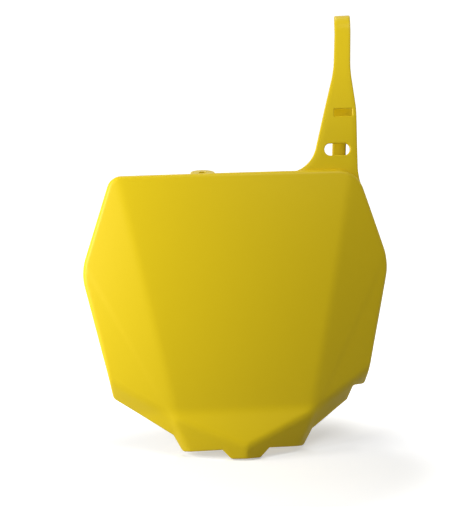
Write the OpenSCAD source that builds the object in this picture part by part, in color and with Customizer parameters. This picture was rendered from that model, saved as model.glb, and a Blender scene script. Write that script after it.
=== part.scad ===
// Front number board for a motocross bike: one moulded plastic shell.
// Face frame: x to the viewer's right, y to the back, z up, with z = 0 along the top edge.
// The whole board then leans back as it sits on the bike, with its origin in the bolt hole of the ear.

/* [Face outline] */
// Width between the sharp top corners
top_w = 205; // [196:1:212]
// Width between the sharp widest corners
waist_w = 258; // [246:1:268]
// Drop from the top edge to the widest corners
waist_drop = 78; // [68:1:88]
// Width between the sharp lower side corners
skirt_w = 211; // [204:1:220]
// Drop from the top edge to the lower side corners
skirt_drop = 183; // [178:1:188]
// Radius of the top corner on the left
top_r = 12; // [6:1:16]
// Radius of the top corner below the strap
strap_corner_r = 24; // [10:1:28]
// Radius of the widest corners
waist_r = 45; // [10:1:60]
// Radius of the lower corner on the left
skirt_r = 6; // [4:1:8]

/* [Bottom edge] */
// Width between the roots of the two pads
pad_root_w = 116; // [112:1:122]
// Drop from the top edge to the roots of the pads
pad_root_drop = 214.3; // [212:0.1:217]
// Width between the outer corners of the two pads
pad_w = 101; // [94:1:106]
// Drop from the top edge to the underside of the pads
pad_drop = 228.5; // [226:0.1:231]
// Radius of the pad and tongue corners
pad_r = 3.2; // [3.2:0.1:4]
// Width of the tongue at its root
tongue_root_w = 39; // [36:1:46]
// Drop from the top edge to the root of the tongue
tongue_root_drop = 227; // [225:0.1:229]
// Width of the tongue at its tip
tongue_w = 24; // [22:1:28]
// Drop from the top edge to the tip of the tongue
tongue_drop = 235; // [233:0.5:242]

/* [Clearance notch, lower right corner] */
// Drop from the top edge to the notch
notch_drop = 180.3; // [176:0.1:182]
// Distance from the centre plane to the upper inside corner of the notch
notch_x = 94.7; // [92:0.1:97]
// Distance from the centre plane to the lower end of the notch
notch_low_x = 90.6; // [84:0.1:92]
// Radius of the notch's inside corner
notch_r = 2.5; // [1:0.1:3]

/* [Folds of the face] */
// Side-to-side dome radius
dome_across_r = 850; // [500:10:3000]
// Top-to-bottom dome radius
dome_along_r = 980; // [600:10:3000]
// Drop from the top edge to the summit of the dome
dome_drop = 95; // [60:1:120]
// Distance from the sharp top corners in to the wing folds
wing_fold_in = 5; // [3:0.5:10]
// Distance between the wing folds at their lower ends
wing_fold_low_w = 111; // [106:1:114]
// Angle by which each wing turns back
wing_angle = 11.6; // [4:0.1:20]
// Drop from the top edge to the lower ends of the wing folds
knee_drop = 200.5; // [199:0.1:203]
// Drop from the top edge to the lower fold at the side edges
band_drop = 167; // [163:0.5:170]
// Drop from the top edge to the middle of the lower fold
chin_drop = 225; // [220:0.5:228]
// Angle by which the chin turns back below the lower fold
chin_angle = 36; // [15:0.5:40]
// Angle by which the bands beside the chin turn back
band_angle = 45; // [41:0.5:48]
// Angle by which the face kicks forward above the chin
kick_angle = 19.4; // [0:0.1:22]
// Drop from the top edge to the start of the kick
kick_drop = 195; // [190:1:197]
// Angle of the small side facet at the outer end of each pad
pad_facet_angle = 35; // [10:1:40]
// Width of that facet at the underside of the pad
pad_facet_w = 6; // [4:0.5:8]
// Half the width over which a fold is rounded
fold_soft = 4; // [2:0.5:6]

/* [Wall and rim] */
// Wall thickness of the shell
wall = 2.5; // [2:0.1:2.8]
// Outside radius of the rolled rim along the top and the sides
rim_r = 3; // [1.5:0.1:3.1]
// Outside radius of the rim along the bottom edge
rim_low_r = 1.2; // [0.6:0.1:2]
// Depth of the lip behind the wall along the top and the sides
lip = 3.6; // [1.5:0.1:6]
// Depth of the lip behind the wall along the bottom edge and under the ear
lip_low = 0.6; // [0.4:0.1:1.5]
// Height over which the rim of the sides fades into the bottom edge
rim_fade = 45; // [20:1:60]

/* [Ear] */
// Distance of the bolt hole from the centre plane, to the left
ear_x = 27; // [20:0.5:40]
// Distance of the bolt hole behind the face
ear_reach = 7.1; // [7:0.1:9]
// Outside radius of the ear
ear_r = 10; // [8:0.1:12]
// Thickness of the ear
ear_t = 3; // [2:0.1:4]
// Diameter of the bolt hole
bolt_d = 6.4; // [5.2:0.1:7]
// Radius of the corners where the ear leaves the rim
ear_root_r = 2; // [0.5:0.5:3]

/* [Strap] */
// Thickness of the strap
strap_t = 3; // [2.4:0.1:3.4]
// Radius of the strap's edges
edge_r = 1.1; // [0.3:0.1:1.1]
// Height of the loop above the top edge of the face
strap_top = 130; // [120:1:150]
// Clear width inside the loop, for a handlebar crossbar
loop_gap = 22; // [16:0.5:28]
// Width of the strap in its loop
loop_w = 13.3; // [11:0.1:16]
// Distance of the loop's middle from the centre plane
loop_x = 94.9; // [93:0.1:97]
// Angle by which the loop turns towards the centre plane
loop_turn = 11; // [0:1:14]
// Width of the strap at its neck, where it stops narrowing
neck_w = 13.9; // [12:0.1:17]
// Distance of the neck's middle from the centre plane
neck_x = 93.2; // [91:0.1:96]
// Height of the neck above the top edge
neck_z = 83; // [76:1:90]
// Height at which the right edge starts to lean towards the neck
shoulder_z = 50; // [44:1:56]
// Distance of the right edge from the centre plane, below the shoulder
strap_edge_x = 104.3; // [103.5:0.1:106]
// Drop from the top edge to where the right edge bends into the side edge of the board
edge_drop = 9.6; // [8:0.1:12]
// Radius of that bend
edge_bend_r = 55; // [30:1:60]
// Radius of the right edge at its shoulder
shoulder_r = 80; // [40:1:100]
// Radius of both edges at the neck
neck_r = 95; // [40:1:110]
// Width of the strap at its foot
foot_w = 41; // [38:1:46]
// Radius of the flare that runs from the strap into the top edge
flare_r = 26.5; // [12:0.5:32]
// Height of the part of the foot that runs on below the rounded corner
foot_run = 5.2; // [3:0.1:8]
// Angle by which the foot turns from the face towards the side
foot_turn = 5; // [3:0.5:7]
// Distance of the strap behind the face where its flare starts
strap_back = 4.2; // [3.4:0.1:4.8]

/* [Window and slot of the strap] */
// Length of the rectangular window
window_w = 15.6; // [10:0.1:17]
// Height of the window
window_h = 6.1; // [5:0.1:9]
// Height of the window's middle above the top edge
window_z = 47.7; // [42:0.1:54]
// Distance of the window's middle from the centre plane
window_x = 92.9; // [91.5:0.1:94]
// Length of the oval slot
slot_w = 22.2; // [14:0.1:24]
// Height of the slot
slot_h = 10; // [6:0.1:12]
// Height of the slot's middle above the top edge
slot_z = 17; // [15:0.1:24]
// Distance of the slot's middle from the centre plane
slot_x = 86.9; // [85:0.1:89]

/* [Catch at the end of the strap] */
// Width of the catch
catch_w = 21; // [15:0.5:23]
// Height of the catch's upper shoulders above the top edge
catch_top_z = 58; // [52:1:66]
// Height of the catch's lower shoulders above the top edge
catch_low_z = 41; // [34:1:46]
// Clear gap between the front run and the catch
catch_gap = 10; // [6:0.5:14]
// Width of the tongue below the catch
tail_w = 11.6; // [8:0.1:14]
// Height of the tongue's lower end above the top edge
tail_z = 4; // [0:0.5:8]
// Sideways lean of the tail over its length, towards the centre plane
tail_lean = 7.2; // [0:0.1:10]
// Height over which the tail widens above the catch
catch_rise = 16; // [12:1:20]
// Height over which the catch narrows to its tongue
catch_fall = 8; // [6:1:10]
// Radius of the catch's corners
catch_r = 5.5; // [3:0.5:6]
// Radius of the bend that sets the catch upright
tail_bend_r = 60; // [30:1:80]

/* [On the bike] */
// Angle by which the board leans back
lean = 15; // [5:1:25]

/* [Hidden] */
$fn = 64;
yellow = [0.86, 0.72, 0.04];

// Columns of the face on each side of a wing fold, counted from the centre plane
mid_cols = 12;
wing_cols = 7;
// Chords in a rounded corner, in half of a corner and in the rolled rim
arc_n = 5;
half_arc_n = 2;
roll_n = 3;
// Rows on the straight parts of the side edge: above the widest corner, below it, in the kick and in the band
upper_rows = 4;
lower_rows = 7;
kick_rows = 3;
band_rows = 3;
// Rows gather towards the folds by this power
crowd = 1.3;
// Height of the band of rows that follows the kick up the side edge
kick_band = 5;

// Chords in a rounded bend of the strap, stations in its front run and in its loop
bend_n = 6;
run_n = 34;
loop_n = 14;
// Stations of the front run gather towards its foot by this power
run_crowd = 1.5;

// Plane vectors in [x, z]
function unit(v) = v / norm(v);
function right_of(v) = [v.y, -v.x];
function mix(a, b, t) = a + (b - a) * t;
function smooth(t) = let (s = max(0, min(1, t))) s * s * (3 - 2 * s);
// A ramp that starts at 0 and is rounded over c on each side
function ramp(d, c) = d <= -c ? 0 : d >= c ? d : (d + c) * (d + c) / (4 * c);
// Distance of p to the left of the line from a to b
function off_line(p, a, b) = -(p - a) * right_of(unit(b - a));

// Folds
fold_x = top_w / 2 - wing_fold_in;
fold_top = [fold_x, 0];
knee = [wing_fold_low_w / 2, -knee_drop];
chin = [0, -chin_drop];
waist_pt = [waist_w / 2, -waist_drop];
skirt_pt = [skirt_w / 2, -skirt_drop];
function side_at(z) = mix(waist_pt, skirt_pt, (z - waist_pt.y) / (skirt_pt.y - waist_pt.y));
band_side = side_at(-band_drop);
pad_fold_a = [pad_root_w / 2 - pad_facet_w / 2, -pad_root_drop + pad_facet_w];
pad_fold_b = [pad_w / 2 - pad_facet_w, -pad_drop];

// Depth of the face behind the summit of its dome, at a point [x, z]
function dome(p) = p.x * p.x / (2 * dome_across_r) + pow(p.y + dome_drop, 2) / (2 * dome_along_r);
function wings(q) = ramp(off_line(q, fold_top, knee), fold_soft) * tan(wing_angle);
function below_fold(q) = max(off_line(q, knee, chin), off_line(q, band_side, knee));
function chin_and_band(q) =
    let (d = ramp(below_fold(q), fold_soft),
         band = d * tan(band_angle),
         pad = d * tan(chin_angle) + ramp(off_line(q, pad_fold_a, pad_fold_b), 1) * tan(pad_facet_angle))
    band - ramp(band - pad, 1);
function kick(q) = -ramp(-kick_drop - q.y, fold_soft) * tan(kick_angle);
function face_y(p) = let (q = [abs(p.x), p.y]) dome(q) + wings(q) + chin_and_band(q) + kick(q);
function slope(p) =
    let (e = 0.5,
         gx = face_y(p + [e, 0]) - face_y(p - [e, 0]),
         gz = face_y(p + [0, e]) - face_y(p - [0, e]))
    norm([gx, gz]) / (2 * e);
function back_y(p) = face_y(p) + wall * sqrt(1 + pow(slope(p), 2));

// A rounded corner at v on the way from a to b, kept as
// [centre, side, radius, normal, direction, turn]; side is 1 where the edge bulges out
function corner(a, v, b, r) =
    let (d1 = unit(v - a),
         d2 = unit(b - v),
         n1 = right_of(d1),
         side = cross(d1, d2) < 0 ? 1 : -1)
    [v + side * r * (n1 + right_of(d2)) / (1 + n1 * right_of(d2)), side, r, n1, d1, acos(d1 * d2)];
// A point of the corner at share t of its turn, as [x, z] and the inward normal
function corner_pt(c, t) =
    let (a = c[5] * t, out = c[4] * sin(a) - c[1] * cos(a) * c[3])
    concat(c[0] + c[2] * out, -c[1] * out);
// A sharp corner, with the vector along which it moves when the edges move in by 1
function sharp_pt(a, v, b) =
    let (n1 = right_of(unit(v - a)), n2 = right_of(unit(b - v)))
    concat(v, (n1 + n2) / (1 + n1 * n2));
// The point at share t of the straight edge from p to q
function edge_pt(p, q, t) = concat(mix(p, q, t), right_of(unit(q - p)));
function xz(p) = [p[0], p[1]];
// A rim point moved in by d
function inset(p, d) = [p[0] + d * p[2], p[1] + d * p[3]];
// n + 1 rim points from p to q, without p
function run_pts(p, q, n) = [for (k = [1:n]) mix(p, q, k / n)];
function arc_pts(c, t0, t1, n) = [for (k = [1:n]) corner_pt(c, mix(t0, t1, k / n))];
function mirrored(list) = [for (p = list) [-p[0], p[1], -p[2], p[3]]];
function backwards(list) = [for (k = [len(list) - 1:-1:0]) list[k]];
function tail_of(list) = [for (k = [1:len(list) - 1]) list[k]];

// Outline of one half of the face, on the right of the centre plane.
// A top corner belongs to the top edge up to this angle of its turn, and to the side edge from there.
split_angle = 45;
function top_corner(r) = corner([0, 0], [top_w / 2, 0], waist_pt, r);
// The top edge at distance x from the centre plane
function top_pt(c, x) =
    x <= c[0].x ? [x, 0, 0, -1] : corner_pt(c, asin((x - c[0].x) / c[2]) / c[5]);
function crowded(k, n) = pow(k / n, crowd);
function top_row(c) =
    let (split_x = c[0].x + c[2] * sin(split_angle))
    concat([for (k = [0:mid_cols]) top_pt(c, fold_x * (1 - crowded(mid_cols - k, mid_cols)))],
           [for (k = [1:wing_cols]) top_pt(c, mix(fold_x, split_x, crowded(k, wing_cols)))]);
waist_corner = corner([top_w / 2, 0], waist_pt, skirt_pt, waist_r);
kick_side = concat(side_at(-band_drop + kick_band), right_of(unit(skirt_pt - waist_pt)));
band_end = concat(band_side, right_of(unit(skirt_pt - waist_pt)));
function side_row(top, low) =
    let (a = corner_pt(top, split_angle / top[5]),
         b = corner_pt(top, 1),
         c = corner_pt(waist_corner, 0),
         d = corner_pt(waist_corner, 1),
         e = corner_pt(low, 0))
    concat([a],
           arc_pts(top, split_angle / top[5], 1, half_arc_n),
           run_pts(b, c, upper_rows),
           arc_pts(waist_corner, 0, 1, arc_n),
           run_pts(d, kick_side, lower_rows),
           run_pts(kick_side, band_end, kick_rows),
           run_pts(band_end, e, band_rows),
           arc_pts(low, 0, 0.5, half_arc_n));

// Bottom edge, listed from the centre plane outwards
root = [pad_root_w / 2, -pad_root_drop];
pad = [pad_w / 2, -pad_drop];
tongue_root = [tongue_root_w / 2, -tongue_root_drop];
tongue = [tongue_w / 2, -tongue_drop];
tongue_end = [0, -tongue_drop];
pad_corner = corner(root, pad, tongue_root, pad_r);
tongue_corner = corner(tongue_root, tongue, tongue_end, pad_r);
function mid_bottom(outer) =
    let (pad_in = xz(corner_pt(pad_corner, 1)))
    [concat(tongue_end, [0, 1]),
     corner_pt(tongue_corner, 1),
     corner_pt(tongue_corner, 0.5),
     corner_pt(tongue_corner, 0),
     sharp_pt(pad, tongue_root, tongue),
     edge_pt(pad_in, tongue_root, 0.75),
     edge_pt(pad_in, tongue_root, 0.5),
     edge_pt(pad_in, tongue_root, 0.25),
     corner_pt(pad_corner, 1),
     corner_pt(pad_corner, 0.5),
     corner_pt(pad_corner, 0),
     edge_pt(root, xz(corner_pt(pad_corner, 0)), 0.5),
     sharp_pt(outer, root, pad)];

// Lower corner on the left, and the notch on the right
skirt_corner = corner(waist_pt, skirt_pt, root, skirt_r);
notch_out = side_at(-notch_drop);
notch_in = [notch_x, -notch_drop];
notch_low = mix(root, skirt_pt, (notch_low_x - root.x) / (skirt_pt.x - root.x));
notch_out_corner = corner(waist_pt, notch_out, notch_in, pad_r);
notch_in_corner = corner(notch_out, notch_in, notch_low, notch_r);
notch_low_corner = corner(notch_in, notch_low, root, pad_r);
plain_bottom =
    let (e = xz(corner_pt(skirt_corner, 1)))
    concat(mid_bottom(skirt_pt),
           [for (k = [1:4]) edge_pt(e, root, 1 - k / 5)],
           [for (t = [1, 0.75, 0.5]) corner_pt(skirt_corner, t)]);
notched_bottom =
    let (e = xz(corner_pt(notch_low_corner, 1)))
    concat(mid_bottom(skirt_pt),
           [edge_pt(e, root, 0.5),
            corner_pt(notch_low_corner, 1),
            corner_pt(notch_low_corner, 0),
            corner_pt(notch_in_corner, 1),
            corner_pt(notch_in_corner, 0),
            corner_pt(notch_out_corner, 1),
            corner_pt(notch_out_corner, 0.5)]);

left_top_corner = top_corner(top_r);
right_top_corner = top_corner(strap_corner_r);
left_top = top_row(left_top_corner);
right_top = top_row(right_top_corner);
left_side = side_row(left_top_corner, skirt_corner);
right_side = side_row(right_top_corner, notch_out_corner);

// Radius and depth of the rim at a point of it, in signed x
function low_share(p) = smooth((-p[1] - skirt_drop + rim_fade) / rim_fade);
function roll_r(p) = mix(rim_r, rim_low_r, low_share(p));
function ear_share(p) = p[1] < -rim_r ? 0 : 1 - smooth((abs(p[0] + ear_x) - ear_r) / ear_r);
function lip_at(p) = mix(lip, lip_low, max(low_share(p), ear_share(p)));
function rim_y(p) = max(face_y(xz(p)) + roll_r(p), back_y(xz(p))) + lip_at(p);

// Rows of plan points [x, z] over one half, from the centre plane out, inside the rim points t, s and b.
// Its columns follow the wing fold and its rows end on the kick and on the lower fold.
kick_row = half_arc_n + upper_rows + arc_n + lower_rows;
fold_row = kick_row + kick_rows;
last_row = fold_row + band_rows + half_arc_n;
cols = mid_cols + wing_cols;
kick_fold = mix(fold_top, knee, kick_drop / knee_drop);
function half_grid(t, s, b) =
    let (f = t[mid_cols],
         kick = [for (k = [0:mid_cols]) [kick_fold.x * t[k].x / f.x, -kick_drop]],
         fold = [for (k = [0:mid_cols])
                    mix(chin, knee, mix(t[k].x / f.x, b[k].x / b[mid_cols].x, 0.5))],
         w = [for (k = [0:wing_cols]) crowded(k, wing_cols)])
    [for (i = [0:last_row])
        let (u = (s[i].y - s[0].y) / (s[kick_row].y - s[0].y),
             v = (i - kick_row) / kick_rows,
             q = (s[i].y - s[fold_row].y) / (s[last_row].y - s[fold_row].y))
        i < kick_row
        ? concat([for (k = [0:mid_cols]) mix(t[k], kick[k], u)],
                 [for (j = [1:wing_cols])
                     mix(mix(f, kick_fold, u), s[i], w[j])
                     + (t[mid_cols + j] - mix(f, t[cols], w[j])) * (1 - u)])
        : i < fold_row
        ? concat([for (k = [0:mid_cols]) mix(kick[k], fold[k], v)],
                 [for (j = [1:wing_cols]) mix(mix(kick_fold, knee, v), s[i], w[j])])
        : concat([for (k = [0:mid_cols]) mix(fold[k], b[k], q)],
                 [for (j = [1:wing_cols])
                     mix(mix(knee, s[fold_row], w[j]), b[mid_cols + j], q)
                     + (s[i] - mix(s[fold_row], s[last_row], q)) * w[j]])];
function inset_all(list, d) = [for (p = list) inset(p, d)];
function inset_roll(list) = [for (p = list) inset(p, roll_r(p))];
function joined(left, right) =
    [for (i = [0:last_row])
        concat([for (k = [cols:-1:1]) [-left[i][k].x, left[i][k].y]], right[i])];
front_plan = joined(
    half_grid(inset_roll(left_top), inset_roll(left_side), inset_roll(plain_bottom)),
    half_grid(inset_roll(right_top), inset_roll(right_side), inset_roll(notched_bottom)));
back_plan = joined(
    half_grid(inset_all(left_top, wall), inset_all(left_side, wall), inset_all(plain_bottom, wall)),
    half_grid(inset_all(right_top, wall), inset_all(right_side, wall), inset_all(notched_bottom, wall)));

// The rim points in one clockwise ring from the upper left, and the grid point each belongs to
row_n = 2 * cols + 1;
ring = let (last = len(left_side) - 1)
    concat(backwards(mirrored(left_top)), tail_of(right_top), tail_of(right_side),
           tail_of(backwards(notched_bottom)), tail_of(mirrored(plain_bottom)),
           [for (k = [last - 1:-1:1]) mirrored(left_side)[k]]);
ring_n = len(ring);
ring_grid = concat([for (k = [0:row_n - 1]) k],
                   [for (i = [1:last_row]) i * row_n + row_n - 1],
                   [for (k = [row_n - 2:-1:0]) last_row * row_n + k],
                   [for (i = [last_row - 1:-1:1]) i * row_n]);

function lift(q, y) = [q.x, y, q.y];
function roll_pt(p, a) =
    let (r = roll_r(p), q = inset(p, r * (1 - sin(a))))
    lift(q, face_y(q) + r * (1 - cos(a)));

module shell() {
    front = [for (row = front_plan) for (q = row) lift(q, face_y(q))];
    back = [for (row = back_plan) for (q = row) lift(q, back_y(q))];
    rolls = [for (k = [1:roll_n]) for (p = ring) roll_pt(p, 90 * k / roll_n)];
    edge_out = [for (p = ring) lift(xz(p), rim_y(p))];
    edge_in = [for (p = ring) lift(inset(p, wall), rim_y(p))];
    grid_n = len(front);
    back_0 = grid_n + (roll_n + 2) * ring_n;
    // Index of ring point k on loop j, counted from the front face to the back one
    function at(j, k) =
        let (m = k % ring_n)
        j == 0 ? ring_grid[m] : j == roll_n + 3 ? back_0 + ring_grid[m] : grid_n + (j - 1) * ring_n + m;
    quads = [for (i = [0:last_row - 1]) for (k = [0:row_n - 2]) i * row_n + k];
    polyhedron(
        points = concat(front, rolls, edge_out, edge_in, back),
        faces = concat(
            [for (a = quads) each [[a, a + 1, a + row_n + 1], [a, a + row_n + 1, a + row_n]]],
            [for (j = [0:roll_n + 2]) for (k = [0:ring_n - 1])
                each [[at(j + 1, k), at(j + 1, k + 1), at(j, k + 1)], [at(j + 1, k), at(j, k + 1), at(j, k)]]],
            [for (a = quads)
                let (b = a + back_0)
                each [[b, b + row_n + 1, b + 1], [b, b + row_n, b + row_n + 1]]]));
}

// Ear: a level half-round tab whose upper face leaves the rim where its roll ends
ear_y = face_y([-ear_x, 0]) + ear_reach;
ear_z = (ear_reach - rim_r) * tan(lean) - ear_t / 2 / cos(lean);
module at_bolt() {
    translate([-ear_x, ear_y, ear_z])
        rotate([lean, 0, 0])
            children();
}
module ear() {
    root_y = ear_reach - rim_r;
    at_bolt()
        difference() {
            translate([0, 0, -ear_t / 2])
                linear_extrude(ear_t)
                    difference() {
                        union() {
                            circle(ear_r);
                            translate([-ear_r - ear_root_r, -root_y])
                                square([2 * (ear_r + ear_root_r), ear_root_r]);
                            translate([-ear_r, -root_y])
                                square([2 * ear_r, root_y]);
                        }
                        for (s = [-1, 1])
                            translate([s * (ear_r + ear_root_r), ear_root_r - root_y])
                                circle(ear_root_r);
                    }
            cylinder(d = bolt_d, h = 2 * ear_t, center = true);
        }
}

// Strap
// Points along a path of [x, z, radius] with its inner corners rounded
function rounded(path) =
    [for (k = [0:len(path) - 1])
        let (r = path[k][2])
        each r == 0
        ? [xz(path[k])]
        : let (c = corner(xz(path[k - 1]), xz(path[k]), xz(path[k + 1]), r))
          [for (j = [0:bend_n]) xz(corner_pt(c, j / bend_n))]];
function by_height(list) = [for (p = list) [p.y, p.x]];
function heights(list) = [for (p = list) p.y];

foot_z = -wall / 2;
foot_x = strap_edge_x - foot_w;
loop_r = loop_gap / 2 + strap_t;
bend_z = strap_top - loop_r;
side_n = right_of(unit(waist_pt - [top_w / 2, 0]));
corner_end = xz(corner_pt(right_top_corner, 1));
foot_end = corner_end + (waist_pt - corner_end) * foot_run / (waist_drop + corner_end.y);

// Left edge of the front run: up the inside of the rim beside the corner, then the flare, the neck and the loop
left_path = rounded([
    [foot_x - flare_r, foot_z, 0],
    [foot_x, foot_z, flare_r],
    [neck_x - neck_w / 2, neck_z, neck_r],
    [loop_x - loop_w / 2, bend_z, 0]]);
flare_x = left_path[1].x;
strap_y = face_y([flare_x, 0]) + strap_back;
foot_path = concat(
    [foot_end + side_n * wall / 2],
    [for (k = [half_arc_n:-1:0]) inset(right_side[k], wall / 2)],
    [for (k = [cols - 1:-1:0])
        if (right_top[k][0] > right_top_corner[0].x + 1) inset(right_top[k], wall / 2)]);
run_left = by_height(concat(foot_path, tail_of(left_path)));
// Right edge of the front run
run_right = by_height(rounded([
    concat(foot_end, 0),
    [strap_edge_x, -edge_drop, edge_bend_r],
    [strap_edge_x, shoulder_z, shoulder_r],
    [neck_x + neck_w / 2, neck_z, neck_r],
    [loop_x + loop_w / 2, bend_z, 0]]));

// A station of the band: the middle of its outer face, the directions of its width and thickness, half its width
function facing(turn) = [[cos(turn), sin(turn), 0], [-sin(turn), cos(turn), 0]];
function run_turn(z) = mix(foot_turn, -loop_turn, smooth(z / bend_z));
function run_station(z) =
    let (l = lookup(z, run_left), r = lookup(z, run_right), x = (l + r) / 2, dirs = facing(run_turn(z)))
    [[x, strap_y + (x - flare_x) * tan(foot_turn), z], dirs[0], dirs[1], (r - l) / 2];
run = concat(
    [for (z = heights(foot_path)) run_station(z)],
    [for (k = [0:run_n]) run_station(mix(foot_z, bend_z, pow(k / run_n, run_crowd)))]);

// The loop and the tail lie in the upright plane through the end of the front run, at [distance back, height]
loop_from = run_station(bend_z);
catch_b = catch_gap + 2 * strap_t;
catch_z = (catch_top_z + catch_low_z) / 2;
loop_lean = atan((2 * loop_r - catch_b) / (bend_z - catch_z));
function loop_pt(a) = [loop_r * (1 - cos(a)), bend_z + loop_r * sin(a)];
loop_path = [for (k = [1:loop_n]) loop_pt((180 + loop_lean) * k / loop_n)];
catch_pt = [loop_r * (1 + 1 / cos(loop_lean)) - (bend_z - catch_z) * tan(loop_lean), catch_z];
tail_side = by_height(rounded([
    [loop_w / 2, bend_z, 0],
    [loop_w / 2, catch_top_z + catch_rise, 3 * catch_r],
    [catch_w / 2, catch_top_z, catch_r],
    [catch_w / 2, catch_low_z, catch_r],
    [tail_w / 2, catch_low_z - catch_fall, catch_r],
    [tail_w / 2, tail_z + tail_w / 2, 0]]));
tail_end = [for (a = [15:15:75]) [tail_z + tail_w / 2 * (1 - sin(a)), tail_w / 2 * cos(a)]];
tail_table = concat(tail_side, tail_end);
tail_path = by_height(rounded([
    concat(loop_path[loop_n - 1], 0),
    concat(catch_pt, tail_bend_r),
    [catch_pt.x, 0, 0]]));
tail_heights = [for (p = tail_table) if (p[0] < loop_path[loop_n - 1].y - 1) p[0]];
// The station at distance b back and height z, where the band heads along d
function plane_station(b, z, d, half) =
    let (lean_share = (bend_z - min(z, bend_z)) / (bend_z - tail_z))
    [loop_from[0] + loop_from[2] * b + [0, 0, z - bend_z] - loop_from[1] * tail_lean * lean_share,
     loop_from[1], loop_from[2] * d.y - [0, 0, d.x], half];
loop = [for (k = [1:loop_n])
    let (a = (180 + loop_lean) * k / loop_n, q = loop_pt(a))
    plane_station(q.x, q.y, [sin(a), cos(a)], loop_w / 2)];
tail = [for (z = tail_heights)
    let (e = 0.5, d = unit([lookup(z - e, tail_path) - lookup(z + e, tail_path), -2 * e]))
    plane_station(lookup(z, tail_path), z, d, lookup(z, tail_table))];

// The section of the band at a station: a rectangle with rounded edges
function section(st) =
    let (h = st[3], r = min(edge_r, 0.8 * h))
    [for (q = [0:3]) for (k = [0:2])
        let (a = 90 * q + 45 * k)
        st[0] + st[1] * ((q % 3 == 0 ? h - r : r - h) + r * cos(a))
              + st[2] * ((q < 2 ? strap_t - r : r) + r * sin(a))];
module band(stations) {
    n = 12;
    last = len(stations) - 1;
    polyhedron(
        points = [for (st = stations) each section(st)],
        faces = concat(
            [[for (k = [0:n - 1]) k]],
            [for (i = [0:last - 1]) for (k = [0:n - 1])
                let (m = (k + 1) % n, a = i * n, b = (i + 1) * n)
                each [[b + k, b + m, a + m], [b + k, a + m, a + k]]],
            [[for (k = [n - 1:-1:0]) last * n + k]]));
}
// Sets what is drawn in the plane of the front run up at x and height z, deep enough to go through it
module through_run(x, z) {
    st = run_station(z);
    past = strap_t;
    translate([x, st[0].y + (x - st[0].x) * sin(run_turn(z)), z])
        rotate([90, 0, run_turn(z)])
            translate([0, 0, -strap_t - past])
                linear_extrude(strap_t + 2 * past)
                    children();
}
module strap() {
    difference() {
        band(concat(run, loop, tail));
        through_run(window_x, window_z)
            square([window_w, window_h], center = true);
        through_run(slot_x, slot_z) {
            square([slot_w - slot_h, slot_h], center = true);
            for (s = [-1, 1])
                translate([s * (slot_w - slot_h) / 2, 0])
                    circle(d = slot_h);
        }
    }
}

module number_board() {
    color(yellow)
        rotate([-lean, 0, 0])
            translate([ear_x, -ear_y, -ear_z]) {
                shell();
                ear();
                strap();
            }
}

number_board();
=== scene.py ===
"""Front number board for a motocross bike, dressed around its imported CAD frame.

The board is one moulding: a domed face with folded wings, a kicked chin and a rolled rim, a
bolt ear on its top edge and a looped strap. Sizes are millimetres in the face frame, where x
runs to the viewer's right, y to the back and z up, with z = 0 along the top edge. The finished
piece is placed in the row frame, in metres, leaning back with its origin in the bolt hole.
"""

import logging
from dataclasses import dataclass
from enum import Enum
from functools import cached_property
from math import acos, atan, ceil, cos, hypot, pi, radians, sin, sqrt, tan
from typing import Iterable, TypeVar

import bmesh
import bpy
from bmesh.types import BMesh, BMEdge, BMFace, BMVert
from bpy.types import ID, Material, Node, NodeSocket, NodeTree, Object
from mathutils import Matrix, Vector


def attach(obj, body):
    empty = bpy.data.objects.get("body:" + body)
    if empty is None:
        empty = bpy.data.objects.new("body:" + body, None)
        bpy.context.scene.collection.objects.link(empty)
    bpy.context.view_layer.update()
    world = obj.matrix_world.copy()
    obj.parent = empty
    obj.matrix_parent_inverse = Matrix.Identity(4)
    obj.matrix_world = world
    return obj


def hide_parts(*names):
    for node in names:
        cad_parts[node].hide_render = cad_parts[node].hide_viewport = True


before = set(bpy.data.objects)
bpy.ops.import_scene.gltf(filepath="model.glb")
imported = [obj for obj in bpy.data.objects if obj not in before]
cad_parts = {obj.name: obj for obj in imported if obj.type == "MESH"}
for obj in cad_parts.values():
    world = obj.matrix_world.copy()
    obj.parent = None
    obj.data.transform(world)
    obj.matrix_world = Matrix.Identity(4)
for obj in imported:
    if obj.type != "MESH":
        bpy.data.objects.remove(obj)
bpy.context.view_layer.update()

LOG = logging.getLogger("number_board")
MM = 0.001
NODE = "number_board"
# Half the distance, in millimetres, over which a slope is measured
SLOPE_STEP = 0.5
# What can be mixed, and what an input of a node can be given
Value = TypeVar("Value", float, Vector)
Feed = float | tuple[float, ...] | Vector | NodeSocket
# Pairs of key and value, such as height and x
Table = list[tuple[float, float]]


# Plane geometry in [x, z]


def right_of(v: Vector) -> Vector:
    """Return the plane vector that lies to the right of v."""
    return Vector((v.y, -v.x))


def mix(a: Value, b: Value, share: float) -> Value:
    """Return the value at a share of the way from a to b."""
    return a + (b - a) * share


def tan_deg(degrees: float) -> float:
    """Return the tangent of an angle in degrees."""
    return tan(radians(degrees))


def quarter(steps: int) -> list[float]:
    """Return the angles of a quarter turn in equal steps, in radians."""
    return [radians(90 * k / steps) for k in range(steps + 1)]


def smooth(share: float) -> float:
    """Return a share eased at both ends and held between 0 and 1."""
    s = min(1.0, max(0.0, share))
    return s * s * (3 - 2 * s)


def ramp(distance: float, soft: float) -> float:
    """Return a ramp that starts at 0 and is rounded over soft on each side."""
    near = min(soft, max(-soft, distance))
    return (near + soft) ** 2 / (4 * soft) + max(0.0, distance - soft)


def off_line(p: Vector, a: Vector, b: Vector) -> float:
    """Return the distance of p to the left of the line from a to b."""
    return -(p - a).dot(right_of((b - a).normalized()))


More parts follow.
